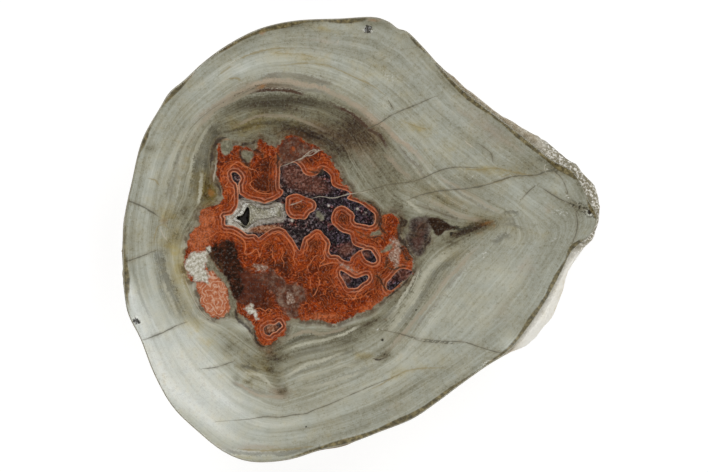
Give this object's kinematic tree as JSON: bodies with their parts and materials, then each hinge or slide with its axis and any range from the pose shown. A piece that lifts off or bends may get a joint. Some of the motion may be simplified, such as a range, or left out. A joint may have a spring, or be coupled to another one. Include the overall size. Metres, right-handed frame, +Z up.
{
  "type": "polished agate nodule half",
  "caption": "Half of an agate nodule with a flat polished face, a crystal-lined pocket and a rough rounded rind below, resting on a small ground spot.",
  "frame": {"origin": "on the ground spot that the stone rests on, straight below the middle of the polished face", "axes": "+Z up, out of the polished face; +X along the longest way across the face, towards its narrow end; +Y across it"},
  "size_m": [0.119, 0.1111, 0.042],
  "materials": {
    "banded_stone": "polished on the cut face, rough rind elsewhere",
    "white_quartz": "small flat-faced crystals"
  },
  "bodies": {
    "root": {"stone": "banded_stone", "quartz_crust": "white_quartz"}
  },
  "joints": []
}
